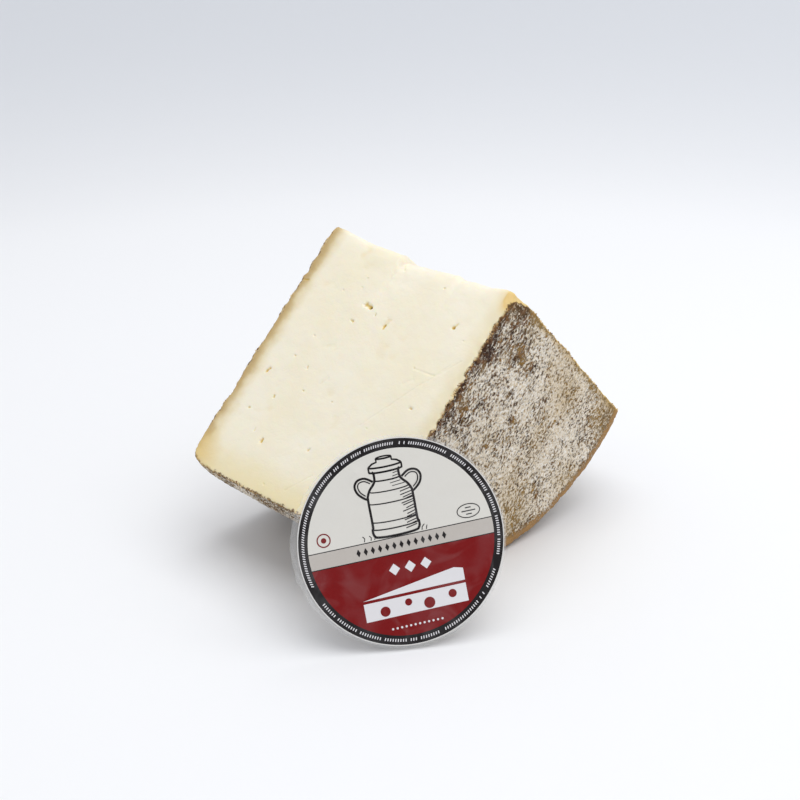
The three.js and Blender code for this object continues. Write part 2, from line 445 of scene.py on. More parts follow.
# %% The label's frame and the limits
FILM_WALL = 0.12  # mm, the film's thickness, and the gap that is kept behind it
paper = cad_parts["label_paper"].data
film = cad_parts["label_film"].data
facet = max(paper.polygons, key=lambda f: f.area)
label_out = np.array(facet.normal) * (1 if facet.normal.z > 0 else -1)
label_right = np.array((-label_out[1], label_out[0], 0.0))
label_right /= np.linalg.norm(label_right)
label_up = np.cross(label_out, label_right)


def disc_of(mesh):
    """Middle, radius, and the heights of the back and the front of a packed disc."""
    spots = rows_of(mesh.vertices, "co")
    heights = spots @ label_out
    middle = (spots.max(0) + spots.min(0)) / 2
    flat = spots - middle - np.outer((spots - middle) @ label_out, label_out)
    return middle, np.linalg.norm(flat, axis=1).max(), heights.min(), heights.max()


paper_middle, paper_radius, _, paper_front = disc_of(paper)
film_middle, film_radius, film_back, film_front = disc_of(film)
print("paper", round(paper_radius / MM, 2), "mm and film", round(film_radius / MM, 2), "mm")

finished = places + MM * shifted
too_near = finished @ label_out - (film_back - FILM_WALL * MM)
beside = finished - film_middle
beside -= np.outer(beside @ label_out, label_out)
meets = (np.linalg.norm(beside, axis=1) < film_radius + 1 * MM) & (too_near > 0)
finished[meets] -= np.outer(too_near[meets], label_out)
finished[:, 2] = np.maximum(finished[:, 2], 0)
net.vertices.foreach_set("co", finished.ravel())
net.update()
net.shade_smooth()
for name, values in (("past_edge", past_edge), ("from_base", from_base), ("from_top", from_top),
                     ("from_rim", from_rim), ("carved", relief), ("bare", bare), ("ochre", ochre)):
    net.attributes.new(name, "FLOAT", "POINT").data.foreach_set("value", values)
print("held back from the film at", int(meets.sum()), "points")

# %% [markdown]
# ## Cheese: paste and rind in one skin
# Paste and rind are one cheese, dried and moulded over on the outside, so one material shades
# both and the distances say where each shows. The paste is a matt, slightly moist cream with
# some light bleeding through it, and turns ochre and glassy where it has dried under the
# rind. The rind is dark brown with ochre patches and a woolly coat of grey-white mould.

# %% Cheese material
FLECK = 0.95  # mm, the mould grows in tufts about this wide
cheese, tree, coords = new_material("goat_cheese_paste_and_rind")
edge_fact, base_fact, top_fact, rim_fact, carved_fact, bare_fact, ochre_fact = (
    add_node(tree, "ShaderNodeAttribute", attribute_name=name).outputs["Fac"]
    for name in ("past_edge", "from_base", "from_top", "from_rim", "carved", "bare", "ochre"))

# even noise, by its size in mm and its detail
crumbly, clouds, wander, speckle, zones, paste_grain = (
    add_node(tree, "ShaderNodeTexNoise", {
        "Vector": coords, "Scale": 1000 / size, "Detail": detail})
    for size, detail in ((1.6, 4), (24, 3), (8, 3), (1.1, 3), (11, 4), (0.9, 4)))

# where the rind begins, made ragged by noise about as coarse as crumbs
ragged = add_node(tree, "ShaderNodeMapRange", {
    "Value": crumbly, "From Min": 0.3, "From Max": 0.7, "To Min": -0.6, "To Max": 0.6})
rind_depth = add_node(tree, "ShaderNodeMath", {0: edge_fact, 1: ragged}, operation="ADD")
is_rind = add_node(tree, "ShaderNodeMapRange", {
    "Value": rind_depth, "From Min": -0.12, "From Max": 0.12})
print("material reads seven distances and has", len(tree.nodes), "nodes")

# %% Paste colours
# Cream, a little warmer in soft clouds. Each side has dried to its own depth in mm: widest
# towards the rim, deepest in colour at the base. The crust itself is a thin brown line, and
# the paste is yellow in its eyes and slits and at its dried corners. The deepest hollows of
# the eyes are painted dark olive brown, which is painted shade.
paste = tinted(tree, linear("#F5EEDB"), linear("#F3EAD0"), clouds, 0.3, 0.7)
wander = add_node(tree, "ShaderNodeMapRange", {
    "Value": wander, "From Min": 0.3, "From Max": 0.7, "To Min": -1.2, "To Max": 1.2})
for side, depth, tone in ((rim_fact, 16.0, "#ECDFB6"), (top_fact, 9.0, "#EADFBE"),
                          (base_fact, 9.0, "#DCC997"), (base_fact, 5.0, "#BFA370")):
    wandering = add_node(tree, "ShaderNodeMath", {0: side, 1: wander}, operation="ADD")
    paste = tinted(tree, paste, linear(tone), wandering, depth, 0.4, blend="SMOOTHSTEP")
crust_tone = tinted(tree, linear("#DCCBA0"), linear("#7D6243"), speckle, 0.42, 0.60)
paste = tinted(tree, paste, crust_tone, rind_depth, -0.9, -0.25, blend="SMOOTHSTEP")
for value, low, high, tone in ((carved_fact, -0.15, -0.7, "#DFC269"),
                               # painted shade: the deepest hollows of the eyes turn dark olive
                               # brown, where shade falls
                               (carved_fact, -0.9, -1.5, "#7A6531"),
                               (ochre_fact, 0.25, 1.0, "#E4C783")):
    paste = tinted(tree, paste, linear(tone), value, low, high)
print("with the paste it has", len(tree.nodes), "nodes")

# %% Rind colours
# Brown skin, dark in its pits and ochre in patches, redder where the mould is rubbed off, and
# smooth tan where the rim rounds over. Its patterns are stretched the way the mould lies.
fleck_frame = Matrix((fleck_way, along_axis, np.cross(fleck_way, along_axis))).transposed()
stretched = add_node(tree, "ShaderNodeMapping", {
    "Vector": coords, "Rotation": fleck_frame.to_euler(), "Scale": (1.4, 1.0, 1.0),
}, vector_type="TEXTURE")
skin_noise, patches, wool, blotches, strands, tufts = (
    add_node(tree, "ShaderNodeTexNoise", {
        "Vector": stretched, "Scale": 1000 / size, "Detail": detail, "Roughness": roughness,
        "Distortion": distortion})
    for size, detail, roughness, distortion in (
        (2.2, 5, 0.65, 0), (4.5, 5, 0.6, 0), (FLECK, 5, 0.62, 0.5), (3.4, 3, 0.5, 0),
        (2.1, 2, 0.5, 1.3), (0.6, 2, 0.5, 0)))
rind = tinted(tree, linear("#452B12"), linear("#A07741"), skin_noise, 0.45, 0.62)
patch_sum = add_node(tree, "ShaderNodeMath", {0: ochre_fact, 1: 0.30, 2: patches},
                     operation="MULTIPLY_ADD")
rind = tinted(tree, rind, linear("#AE8A48"), patch_sum, 0.50, 0.68, most=0.75)
bald_tone = tinted(tree, linear("#341B10"), linear("#7A5032"), skin_noise, 0.45, 0.62)
rind = tinted(tree, rind, bald_tone, bare_fact, 0.05, 0.13, most=0.75)
by_rim, by_top, near_edge = (
    add_node(tree, "ShaderNodeMapRange", {
        "Value": side, "From Min": low, "From Max": high, "To Max": most},
        interpolation_type="SMOOTHSTEP")
    for side, low, high, most in (
        (rim_fact, 4.5, 1.0, 1.0), (top_fact, 8.0, 3.5, 1.0), (edge_fact, 2.2, 0.4, 0.08)))
rounded = add_node(tree, "ShaderNodeMath", {0: by_rim, 1: by_top}, operation="MULTIPLY")
rind = tinted(tree, rind, linear("#B38A58"), rounded, 0.0, 1.0, most=0.85)
print("with the rind's skin it has", len(tree.nodes), "nodes")

# %% Where the mould grows
# In tufts, in wider zones and blotches. It is thin along the cut edge, where it has been
# handled and on the rim. Small holes pierce it, and loose strands cross its gaps.
blotches = add_node(tree, "ShaderNodeMapRange", {
    "Value": blotches, "From Min": 0.34, "From Max": 0.46, "To Min": -0.05, "To Max": 0.0})
on_the_rim = add_node(tree, "ShaderNodeMapRange", {
    "Value": top_fact, "From Min": 3.0, "From Max": 10.0, "To Max": 0.07})
worn_off = add_node(tree, "ShaderNodeMath", {0: rounded, 1: 0.2, 2: near_edge},
                    operation="MULTIPLY_ADD")
wool_left = add_node(tree, "ShaderNodeMath", {0: zones, 1: 0.40, 2: wool},
                     operation="MULTIPLY_ADD")
for part, operation in ((blotches, "ADD"), (worn_off, "SUBTRACT"), (bare_fact, "SUBTRACT"),
                        (on_the_rim, "SUBTRACT")):
    wool_left = add_node(tree, "ShaderNodeMath", {0: wool_left, 1: part}, operation=operation)
holes = add_node(tree, "ShaderNodeTexVoronoi", {"Vector": stretched, "Scale": 1000 / 1.5})
off_strand = add_node(tree, "ShaderNodeMath", {0: strands, 1: 0.5}, operation="SUBTRACT")
off_strand = add_node(tree, "ShaderNodeMath", {0: off_strand}, operation="ABSOLUTE")
tuft_share, hole_share, strand_share, strand_room = (
    add_node(tree, "ShaderNodeMapRange", {
        "Value": value, "From Min": low, "From Max": high, "To Max": most})
    for value, low, high, most in (
        (wool_left, 0.585, 0.64, 1.0), (holes.outputs["Distance"], 0.10, 0.34, 1.0),
        (off_strand, 0.032, 0.012, 0.75), (wool_left, 0.46, 0.58, 1.0)))
tuft_share, strand_share = (
    add_node(tree, "ShaderNodeMath", {0: share, 1: room}, operation="MULTIPLY")
    for share, room in ((tuft_share, hole_share), (strand_share, strand_room)))
wool_share = add_node(tree, "ShaderNodeMath", {0: tuft_share, 1: strand_share},
                      operation="MAXIMUM")
print("with the mould it has", len(tree.nodes), "nodes")

# %% Lay the mould and the torn fringe over the skin
# Mould is white on its tufts and cream between, and tan over ochre skin. The torn fringe of
# the rind is pale and brown by turns, and a bright line along the back cut.
wool_tone = tinted(tree, linear("#DECAA9"), linear("#FFFAF1"), tufts, 0.35, 0.65)
wool_tone = tinted(tree, wool_tone, linear("#CDAE74"), ochre_fact, 0.0, 2.0)
rind = add_node(tree, "ShaderNodeMix", {
    "Factor": wool_share, "A": rind, "B": wool_tone}, data_type="RGBA")
fringe_tone = tinted(tree, linear("#DCB276"), linear("#55341C"), speckle, 0.49, 0.60)
fringe_tone = tinted(tree, fringe_tone, linear("#DDB872"), ochre_fact, 0.3, 1.0, most=0.8)
rind = tinted(tree, rind, fringe_tone, rind_depth, 0.9, 0.1, most=0.85, blend="SMOOTHSTEP")
print("with the torn fringe it has", len(tree.nodes), "nodes")

# %% Cheese surface
# The paste is semi-matt and lets a little light through. The rind is dry and lets none.
skin = add_node(tree, "ShaderNodeMix", {
    "Factor": is_rind, "A": paste, "B": rind}, data_type="RGBA")
roughness = add_node(tree, "ShaderNodeMapRange", {
    "Value": is_rind, "To Min": 0.5, "To Max": 0.9})
bleed = add_node(tree, "ShaderNodeMapRange", {
    "Value": is_rind, "To Min": 0.35, "To Max": 0.0})
paste_grain = add_node(tree, "ShaderNodeMath", {0: paste_grain, 1: 0.10}, operation="MULTIPLY")
woolly = add_node(tree, "ShaderNodeMath", {0: wool_share, 1: 0.5, 2: wool},
                  operation="MULTIPLY_ADD")
grain = add_node(tree, "ShaderNodeMix", {
    "Factor": is_rind, "A": paste_grain, "B": woolly})
bump = add_node(tree, "ShaderNodeBump", {
    "Height": grain, "Strength": 1.0, "Distance": 0.75 * MM})
end_material(tree, {
    "Base Color": skin, "Roughness": roughness, "IOR": 1.45, "Normal": bump,
    "Subsurface Weight": bleed, "Subsurface Radius": (1.0, 0.75, 0.4),
    "Subsurface Scale": 2.5 * MM})

net.materials.clear()
net.materials.append(cheese)
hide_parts("cheese_wedge")
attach(wedge, "root")
print("cheese material has", len(tree.nodes), "nodes")

# %% [markdown]
# ## Crumbs on the cut edge
# A knife tears dry rind into crumbs, and some stay stuck along the edge. They are hundreds of
# small uneven bits that follow the edge, so Geometry Nodes place them: points are strewn over
# a narrow band of the finished skin, and each gets a lump with its own turn and proportions.

# %% Crumb material
crumb, tree, coords = new_material("dry_rind_crumb")
crumb_noise = add_node(tree, "ShaderNodeTexNoise", {"Vector": coords, "Scale": 1000 / 2.0})
crumb_tone = tinted(tree, linear("#E9D2A2"), linear("#7A5230"), crumb_noise, 0.48, 0.62)
end_material(tree, {"Base Color": crumb_tone, "Roughness": 0.85, "IOR": 1.45})
print("crumb material has", len(tree.nodes), "nodes")

# %% A node group that strews crumbs
def new_group(name, made, inputs):
    """A geometry node group with its named inputs, and the sockets that give their values."""
    tree = bpy.data.node_groups.new(name, "GeometryNodeTree")
    for kind, names in inputs.items():
        for socket in names:
            tree.interface.new_socket(socket, in_out="INPUT", socket_type="NodeSocket" + kind)
    tree.interface.new_socket(made, in_out="OUTPUT", socket_type="NodeSocketGeometry")
    return tree, add_node(tree, "NodeGroupInput").outputs


def end_group(tree, shapes, material):
    done = add_node(tree, "GeometryNodeSetMaterial", {"Geometry": shapes, "Material": material})
    add_node(tree, "NodeGroupOutput", {0: done})


def bake(piece, tree, **values):
    """Runs a node group on a piece with these input values and keeps the result as a mesh."""
    modifier = piece.modifiers.new(tree.name, "NODES")
    modifier.node_group = tree
    for socket in tree.interface.items_tree:
        if socket.in_out == "INPUT" and socket.name in values:
            modifier[socket.identifier] = values[socket.name]
    depsgraph = bpy.context.evaluated_depsgraph_get()
    result = bpy.data.meshes.new_from_object(piece.evaluated_get(depsgraph))
    piece.modifiers.clear()
    piece.data = result
    return result


crumbs_tree, given = new_group("strewn_crumbs", "Crumbs", {
    "Geometry": ("Band",), "Float": ("Crumbs per square metre", "Crumb size"),
    "Int": ("Seed",), "Material": ("Material",)})
strewn = add_node(crumbs_tree, "GeometryNodeDistributePointsOnFaces", {
    "Mesh": given["Band"], "Density": given["Crumbs per square metre"], "Seed": given["Seed"]})
lump = add_node(crumbs_tree, "GeometryNodeMeshIcoSphere", {
    "Radius": given["Crumb size"], "Subdivisions": 1})
any_turn = add_node(crumbs_tree, "FunctionNodeRandomValue", {
    "Max": (6.28, 6.28, 6.28), "Seed": given["Seed"]}, data_type="FLOAT_VECTOR")
any_shape = add_node(crumbs_tree, "FunctionNodeRandomValue", {
    "Min": (0.35, 0.3, 0.25), "Max": (1.5, 1.0, 0.8), "Seed": given["Seed"]},
    data_type="FLOAT_VECTOR")
placed = add_node(crumbs_tree, "GeometryNodeInstanceOnPoints", {
    "Points": strewn.outputs["Points"], "Instance": lump, "Rotation": any_turn,
    "Scale": any_shape})
real = add_node(crumbs_tree, "GeometryNodeRealizeInstances", {"Geometry": placed})
rough = add_node(crumbs_tree, "ShaderNodeTexNoise", {"Scale": 1000 / 0.7})
centred = add_node(crumbs_tree, "ShaderNodeVectorMath", {
    0: rough.outputs["Color"], 1: (0.5, 0.5, 0.5)}, operation="SUBTRACT")
jagged = add_node(crumbs_tree, "ShaderNodeVectorMath", {
    0: centred, "Scale": 0.6 * MM}, operation="SCALE")
moved = add_node(crumbs_tree, "GeometryNodeSetPosition", {"Geometry": real, "Offset": jagged})
end_group(crumbs_tree, moved, given["Material"])
print("crumb group has", len(crumbs_tree.nodes), "nodes")

# %% Strew the crumbs
band = bmesh.new()
band.from_mesh(net)
along_edge = abs(past_edge) < np.where(from_top < 2.0, 0.9, 0.6)
off_table = finished[:, 2] > 3 * MM
off_label = (finished @ label_out < film_back - 1.2 * MM) | (
    np.linalg.norm(beside, axis=1) > film_radius + 2 * MM)
keep = along_edge & off_table & off_label
bmesh.ops.delete(band, geom=[f for f in band.faces if not all(keep[v.index] for v in f.verts)],
                 context="FACES")
crumbs = link_object("rind_crumbs", as_mesh(band, "rind_crumbs"))
crumb_mesh = bake(crumbs, crumbs_tree, **{
    "Crumbs per square metre": 2.4e6, "Crumb size": 0.42 * MM, "Seed": 5, "Material": crumb})
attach(crumbs, "root")
print(len(crumb_mesh.polygons), "crumb faces")

# %% [markdown]
# ## The printed label
# The label is a round of coated paper under clear film: a black ring, an off-white field above,
# a grey-beige band, and deep red below. The print is set a few degrees turned. Each printed
# area is its own part of the paper's face, cut along its border, so its edge is crisp at any
# size. Words, marks and the drawing of the real label are left out. Plain ornaments stand in
# their places: a milk churn, a cheese symbol, lozenges, dots and a border of small dashes.

# %% The label's bend and turn
PRINT_TURN = math.radians(7)
label_middle = paper_middle + (paper_front - paper_middle @ label_out) * label_out

# Soft creases of the label, in mm on its face: start, end, half width and height.
creases = (
    ((-31, 8), (-14, 24), 3.5, 0.16), ((-14, 24), (-10, 6), 3.0, 0.12),
    ((6, 20), (16, 30), 3.5, 0.14), ((10, 12), (27, 16), 4.0, -0.10),
    ((-20, -12), (-6, -20), 4.0, 0.10), ((14, -8), (26, -16), 4.0, 0.10),
)


def label_bend(x, y):
    """How far paper and film stand out from flat, in mm."""
    wave = 0.22 * noise.noise((x / 17, y / 17, 3.7)) + 0.22
    for start, end, half_width, rise in creases:
        gap = float(from_stroke(x, y, start, end)) / half_width
        wave += rise * max(0.0, 1 - gap) ** 1.5
    return wave * min(1.0, math.hypot(x, y) / 14)


def on_label(x, y, out):
    """A point in mm right, up and out from the middle of the label's face, in the row frame."""
    side, rise, out = x * MM, y * MM, (out + label_bend(x, y)) * MM
    return label_middle + side * label_right + rise * label_up + out * label_out


def as_printed(x, y):
    return (x * math.cos(PRINT_TURN) - y * math.sin(PRINT_TURN),
            x * math.sin(PRINT_TURN) + y * math.cos(PRINT_TURN))


print("label middle", np.round(label_middle / MM, 1), "mm")

# %% Inks and papers
# Offset ink on coated paper: satin, under film that adds a clear gloss of its own. Soft pale
# streaks are painted into the ink's colour as painted sheen of the film's reflections.
def printed(name, hex_colour, mottle):
    material, tree, coords = new_material(name)
    spots, slack, painted_film_sheen = (
        add_node(tree, "ShaderNodeTexNoise", {
            "Vector": coords, "Scale": 1000 / size, "Detail": detail, "Distortion": distortion})
        for size, detail, distortion in ((0.8, 4, 0), (11, 1, 0), (16, 2, 1.6)))
    clear = linear(hex_colour)
    faded = tuple(c + mottle * (1 - c) for c in clear[:3]) + (1.0,)
    tone = add_node(tree, "ShaderNodeMix", {
        "Factor": spots, "A": clear, "B": faded}, data_type="RGBA")
    # painted sheen: pale streaks in the ink stand for the film's reflections
    tone = tinted(tree, tone, linear("#F2F2F2"), painted_film_sheen, 0.50, 0.66, most=0.03)
    cling = add_node(tree, "ShaderNodeMapRange", {
        "Value": slack, "From Min": 0.42, "From Max": 0.68, "To Min": 0.04, "To Max": 0.65},
        interpolation_type="SMOOTHSTEP")
    ripples = add_node(tree, "ShaderNodeBump", {
        "Height": slack, "Strength": 0.6, "Distance": 1.2 * MM})
    end_material(tree, {
        "Base Color": tone, "Roughness": 0.5, "IOR": 1.5, "Specular IOR Level": 0.15,
        "Coat Weight": cling, "Coat Roughness": 0.12, "Coat IOR": 1.49,
        "Coat Normal": ripples})
    return material


label_inks = [printed(name, hex_colour, mottle) for name, hex_colour, mottle in (
    ("coated_paper_bare", "#DAD8D5", 0.05), ("offset_ink_black", "#191516", 0.006),
    ("offset_ink_pale_field", "#DDDAD2", 0.06), ("offset_ink_grey_beige", "#BFB8B0", 0.06),
    ("offset_ink_deep_red", "#7A0406", 0.006), ("offset_ink_white", "#E4E2E4", 0.05))]
BARE, BLACK, FIELD, BAND, RED, WHITE = range(len(label_inks))
print("inks and papers:", len(label_inks))

# %% Cut the paper's face along the borders of its print
def join_rings(form, middle, rings):
    """Faces between rings of corners, and from the innermost ring to a middle corner."""
    for i in range(len(rings[0])):
        j = (i + 1) % len(rings[0])
        form.faces.new((middle, rings[0][i], rings[0][j]))
        for inner, outer in zip(rings, rings[1:]):
            form.faces.new((inner[i], outer[i], outer[j], inner[j]))


# All in mm: the ring's two edges, the band's two edges, the black rules along it, the paper.
RING_INNER, RING_OUTER = 31.5, 34.65
BAND_LOW, BAND_HIGH = -3.5, 2.0
RULE = 0.16  # half the rule's width
THICK = 0.5
STEPS = 144
sheet_form = bmesh.new()
radii = (4, 9, 14, 19, 24, 28, RING_INNER, RING_OUTER, paper_radius / MM)
middle_corner = sheet_form.verts.new((0, 0, 0))
join_rings(sheet_form, middle_corner, [
    [sheet_form.verts.new((r * math.cos(2 * math.pi * i / STEPS),
                           r * math.sin(2 * math.pi * i / STEPS), 0)) for i in range(STEPS)]
    for r in radii])
rule_way = Vector((-math.sin(PRINT_TURN), math.cos(PRINT_TURN), 0))
for level in (BAND_LOW - RULE, BAND_LOW + RULE, BAND_HIGH - RULE, BAND_HIGH + RULE):
    bmesh.ops.bisect_plane(
        sheet_form, geom=sheet_form.verts[:] + sheet_form.edges[:] + sheet_form.faces[:],
        plane_co=rule_way * level, plane_no=rule_way)
flat_share = math.cos(math.pi / STEPS)  # the middle of a side lies this much nearer in
for face in sheet_form.faces:
    spot = face.calc_center_median()
    reach, rise = math.hypot(spot.x, spot.y) / flat_share, spot.dot(rule_way)
    on_a_rule = min(abs(rise - BAND_LOW), abs(rise - BAND_HIGH)) < RULE
    face.material_index = (
        BARE if reach > RING_OUTER else BLACK if reach > RING_INNER or on_a_rule else
        FIELD if rise > BAND_HIGH else BAND if rise > BAND_LOW else RED)
back = bmesh.ops.extrude_face_region(sheet_form, geom=sheet_form.faces[:], use_keep_orig=True)
for corner in (g for g in back["geom"] if isinstance(g, bmesh.types.BMVert)):
    corner.co.z = -THICK
for face in sheet_form.faces:
    if face.calc_center_median().z < -0.01:
        face.material_index = BARE
bmesh.ops.recalc_face_normals(sheet_form, faces=sheet_form.faces)
for corner in sheet_form.verts:
    corner.co = on_label(*corner.co)
label_mesh = as_mesh(sheet_form, "label_paper_printed")
for ink in label_inks:
    label_mesh.materials.append(ink)
label = link_object("label_paper_printed", label_mesh)
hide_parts("label_paper")
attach(label, "root")
print("label face cut into", len(label_mesh.polygons), "areas")

# %% Draw with ink
INK = 0.04  # mm, thicker than real ink so that the drawing is a shape of its own
drawing = bmesh.new()


def add_patch(points, ink=BLACK, level=INK):
    """A filled outline, as a thin plate on the label."""
    low, high = ([drawing.verts.new((x, y, z)) for x, y in points] for z in (0.0, level))
    drawing.faces.new(high).material_index = ink
    drawing.faces.new(low[::-1]).material_index = ink
    for i in range(len(points)):
        j = (i + 1) % len(points)
        drawing.faces.new((low[i], low[j], high[j], high[i])).material_index = ink


def add_stroke(points, width, ink=BLACK, closed=False):
    """A line of even width along points, as a thin plate on the label."""
    points = [Vector(p) for p in points]
    count = len(points)
    left, right = [], []
    for i, point in enumerate(points):
        before = points[i - 1] if closed or i else point
        after = points[(i + 1) % count] if closed or i < count - 1 else point
        way = (after - before).normalized()
        side = Vector((-way.y, way.x)) * width / 2
        left.append(point + side)
        right.append(point - side)
    rows = [[drawing.verts.new((*p, z)) for p in line]
            for line, z in ((left, INK), (right, INK), (right, 0.0), (left, 0.0))]
    for i in range(count if closed else count - 1):
        j = (i + 1) % count
        for a, b in zip(rows, rows[1:] + rows[:1]):
            drawing.faces.new((a[i], b[i], b[j], a[j])).material_index = ink
    if not closed:
        for i in (0, count - 1):
            drawing.faces.new([row[i] for row in rows]).material_index = ink


def arc(x, y, wide, high, start=0, end=360, steps=36):
    turns = [math.radians(start + (end - start) * i / steps) for i in range(steps + 1)]
    points = [(x + wide * math.cos(t), y + high * math.sin(t)) for t in turns]
    return points[:-1] if end - start == 360 else points


def eased(points, steps=4):
    """The same line with rounded corners, by Catmull-Rom interpolation."""
    points = [Vector(p) for p in points]
    line = []
    for i in range(len(points) - 1):
        a, b, c, d = (points[min(max(i + k, 0), len(points) - 1)] for k in (-1, 0, 1, 2))
        for step in range(steps):
            t = step / steps
            line.append(0.5 * (2 * b + (c - a) * t + (2 * a - 5 * b + 4 * c - d) * t ** 2
                               + (3 * b - a - 3 * c + d) * t ** 3))
    return line + [points[-1]]


print("strokes and patches stand", INK, "mm out of the label")

# %% Draw the milk churn
# Its middle, then lines on its right half that are drawn on both sides, then its hoops: half
# width, height on the label and line width. All in mm.
CHURN = -1.0
outline = ((7.4, 3.4), (7.9, 4.4), (7.9, 6.0), (7.6, 7.0), (7.6, 15.6), (7.3, 17.4), (6.4, 19.1),
           (5.0, 20.6), (4.3, 21.8), (4.2, 24.0), (4.7, 24.8))
handle = ((4.9, 21.6), (7.4, 23.2), (9.9, 23.0), (11.2, 21.2), (10.6, 18.6), (8.3, 16.4),
          (7.4, 16.3))
inner = ((5.9, 21.2), (7.7, 22.3), (9.5, 22.1), (10.2, 20.9), (9.7, 19.0), (8.1, 17.4))
lid_side = ((5.6, 24.8), (5.6, 26.4))
lid_top = ((5.6, 26.4), (4.2, 27.4), (2.6, 27.8), (2.6, 28.9))
hoops = ((7.4, 3.4, 0.8), (7.9, 6.0, 0.45), (7.6, 8.4, 0.4), (7.6, 14.6, 0.4), (6.6, 18.4, 0.4),
         (4.3, 21.8, 0.5), (5.6, 24.8, 0.65), (5.6, 26.4, 0.6), (2.6, 28.9, 0.6))
for way in (-1, 1):
    for points, width in ((eased(outline), 0.8), (eased(handle), 0.75), (eased(inner), 0.4),
                          (lid_side, 0.6), (lid_top, 0.6)):
        add_stroke([(CHURN + way * x, y) for x, y in points], width)
for wide, level, width in hoops:
    add_stroke(arc(CHURN, level, wide, 0.11 * wide, 180, 360), width)
add_stroke(arc(CHURN, 28.9, 2.6, 0.5, 0, 180), 0.5)
for row in range(14):  # hatching down the churn's shaded side
    low = 4.6 + 0.95 * row + dice.uniform(-0.15, 0.15)
    reach = 2.6 + 1.2 * dice.random() if row % 3 else 3.9
    add_stroke(((CHURN + 7.2, low + 0.4), (CHURN + 7.2 - reach, low - 0.35)), 0.34)
for row, (side, reach) in enumerate(((5.6, 4.4), (4.3, 3.6), (3.9, 2.4), (3.9, 2.0), (3.9, 1.7))):
    low = 19.4 + 1.05 * row  # and up its neck
    add_stroke(((CHURN + side, low), (CHURN + side - reach, low - 0.35)), 0.24)
for blade in range(13):  # grass at the churn's foot
    foot = -12.0 + 1.75 * blade + dice.uniform(-0.4, 0.4)
    tall = dice.uniform(1.1, 2.6)
    if abs(foot - CHURN) > 7.6:
        add_stroke(((foot, 2.5), (foot + 0.15 * tall, 2.5 + 0.6 * tall),
                    (foot + dice.uniform(-0.2, 0.7) * tall, 2.5 + tall)), 0.3)
print("churn has", len(drawing.faces), "faces")

# %% Draw the small ornaments and the cheese symbol
add_stroke(arc(24.0, 5.6, 3.9, 2.3), 0.3, closed=True)
for level, reach in ((6.7, 1.0), (5.6, 2.4), (4.5, 1.0)):
    add_stroke(((24.0 - reach, level), (24.0 + reach, level)), 0.34)
add_stroke(arc(-25.6, 5.8, 2.15, 2.15), 0.42, RED, closed=True)
add_patch(arc(-25.6, 5.8, 0.9, 0.9, steps=20), RED)
for x in (-15.0 + 2.45 * place for place in range(13)):  # lozenges along the band
    add_patch(((x - 0.72, -0.75), (x, -2.05), (x + 0.72, -0.75), (x, 0.55)))
for x in (-4.2, 1.2, 6.6):  # and three over the cheese symbol
    add_patch(((x - 1.9, -8.6), (x, -10.6), (x + 1.9, -8.6), (x, -6.6)), WHITE)
add_patch(((-16.6, -18.0), (-16.6, -24.2), (18.6, -24.2), (18.6, -18.0)), WHITE)
add_patch(((-16.6, -17.0), (18.6, -17.0), (18.6, -12.9), (15.6, -12.1)), WHITE)
for x, y, size in ((-9.8, -21.8, 1.7), (-1.6, -20.3, 1.2), (5.4, -22.0, 1.9), (13.6, -20.6, 1.4)):
    add_patch(arc(x, y, size, size, steps=28), RED, level=2 * INK)
for place in range(12):
    add_patch(arc(-8.4 + 1.55 * place, -28.2, 0.38, 0.38, steps=12), WHITE)
print("with ornaments it has", len(drawing.faces), "faces")

# %% Lay the drawing on the label
bmesh.ops.recalc_face_normals(drawing, faces=drawing.faces)
bmesh.ops.triangulate(drawing, faces=[f for f in drawing.faces if f.calc_area() > 3])
for _ in range(4):  # long sides are halved, so that every shape follows the label's bend
    long_sides = [side for side in drawing.edges if side.calc_length() > 2.2]
    bmesh.ops.subdivide_edges(drawing, edges=long_sides, cuts=1)
    bmesh.ops.triangulate(drawing, faces=[f for f in drawing.faces if len(f.verts) > 4])
for corner in drawing.verts:
    corner.co = on_label(*as_printed(corner.co.x, corner.co.y), corner.co.z)
drawing_mesh = as_mesh(drawing, "label_drawing")
for ink in label_inks:
    drawing_mesh.materials.append(ink)
label_drawing = link_object("label_drawing", drawing_mesh)
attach(label_drawing, "root")
print("drawing has", len(drawing_mesh.polygons), "faces")

# %% [markdown]
# ## The border of dashes
# The ring carries two rows of small marks, one over the top and one along the foot. They repeat
# along a circle, so a node group makes them: a row of points is bent into an arc, a few are
# left out, and a small plate stands on each, turned to point at the middle.

# %% Dashes round the ring
RING_MIDDLE = 33.1  # mm, radius of the circle that the dashes stand on
dash_tree, given = new_group("ring_of_dashes", "Ring", {
    "Geometry": ("Geometry",), "Int": ("Dashes", "Seed"), "Material": ("Material",),
    "Float": ("Ring radius", "Start angle", "Sweep angle", "Dash length", "Dash width",
              "Share left out")})
row = add_node(dash_tree, "GeometryNodeMeshLine", {"Count": given["Dashes"]})
share = add_node(dash_tree, "ShaderNodeMath", {
    0: add_node(dash_tree, "GeometryNodeInputIndex"), 1: given["Dashes"]}, operation="DIVIDE")
angle = add_node(dash_tree, "ShaderNodeMath", {
    0: share, 1: given["Sweep angle"], 2: given["Start angle"]}, operation="MULTIPLY_ADD")
sides = [add_node(dash_tree, "ShaderNodeMath", {
    0: add_node(dash_tree, "ShaderNodeMath", {0: angle}, operation=kind),
    1: given["Ring radius"]}, operation="MULTIPLY") for kind in ("COSINE", "SINE")]
spot = add_node(dash_tree, "ShaderNodeCombineXYZ", {0: sides[0], 1: sides[1]})
bent = add_node(dash_tree, "GeometryNodeSetPosition", {"Geometry": row, "Position": spot})
left_out = add_node(dash_tree, "FunctionNodeRandomValue", {
    "Probability": given["Share left out"], "Seed": given["Seed"]}, data_type="BOOLEAN")
